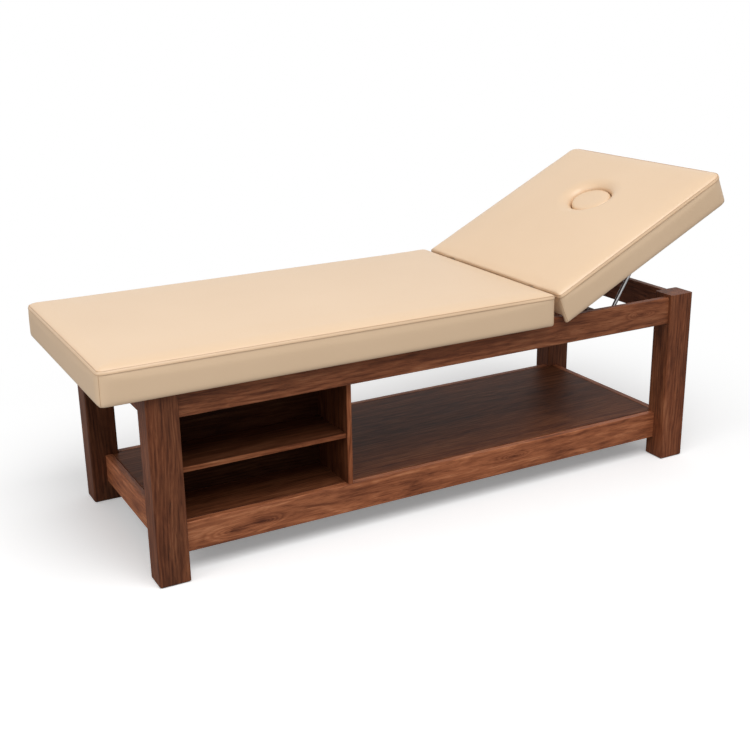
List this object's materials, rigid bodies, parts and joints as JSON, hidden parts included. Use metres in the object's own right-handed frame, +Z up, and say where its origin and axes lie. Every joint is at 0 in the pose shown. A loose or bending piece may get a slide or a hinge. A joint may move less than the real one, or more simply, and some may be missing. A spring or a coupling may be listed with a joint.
{
  "type": "massage table",
  "caption": "Wooden massage table with a padded top, a lifting back section held by a steel prop, a face opening with a plug, and a low storage board with a small open cubby.",
  "frame": {"origin": "on the floor, below the middle of the whole table with the back section raised as stored", "axes": "+X towards the head end, +Y towards the back long side, +Z up; the open cubby is on the -Y side, by the foot end"},
  "size_m": [1.9748, 0.724, 0.8998],
  "materials": {
    "stained_wood": "satin reddish brown stain",
    "upholstery": "smooth cream artificial leather over foam",
    "steel": "plain steel"
  },
  "bodies": {
    "frame": {"leg_foot_front": "stained_wood", "leg_foot_back": "stained_wood", "leg_head_front": "stained_wood", "leg_head_back": "stained_wood", "top_rail_front": "stained_wood", "top_rail_back": "stained_wood", "top_rail_foot": "stained_wood", "top_rail_head": "stained_wood", "low_rail_front": "stained_wood", "low_rail_back": "stained_wood", "low_rail_foot": "stained_wood", "low_rail_head": "stained_wood", "storage_board": "stained_wood", "board_battens": "stained_wood", "cubby_end_panel": "stained_wood", "cubby_divider": "stained_wood", "cubby_back_panel": "stained_wood", "cubby_shelf": "stained_wood", "deck_bearers": "stained_wood", "hinge_bearer": "stained_wood", "back_bearer": "stained_wood", "deck_board": "stained_wood", "prop_rack_front": "stained_wood", "prop_rack_back": "stained_wood", "shelf_pins": "steel", "main_cushion": "upholstery", "hinge_bracket_front": "steel", "hinge_bracket_back": "steel", "hinge_bolts": "steel", "bracket_screws": "steel"},
    "back_section": {"back_board": "stained_wood", "back_cushion": "upholstery", "hinge_lug_front": "steel", "hinge_lug_back": "steel", "lug_screws": "steel", "prop_blocks": "stained_wood"},
    "plug": {"face_plug": "upholstery"},
    "prop": {"prop_frame": "steel"}
  },
  "joints": [
    {"name": "back_hinge", "type": "hinge", "parent": "frame", "child": "back_section", "pos_m": [0.37159, 0, 0.596], "axis": [0, -1, 0], "range_deg": [-26.4, 5]},
    {"name": "plug_lift", "type": "slide", "parent": "back_section", "child": "plug", "axis": [-0.4462, 0, 0.8949], "range_m": [0, 0.12]},
    {"name": "prop_hinge", "type": "hinge", "parent": "back_section", "child": "prop", "pos_m": [0.75363, 0, 0.70044], "axis": [0, -1, 0], "range_deg": [-24.2, 5]}
  ],
  "couplings": [
    {"joint": "prop_hinge", "follows": "back_hinge", "ratio": 0.91}
  ]
}
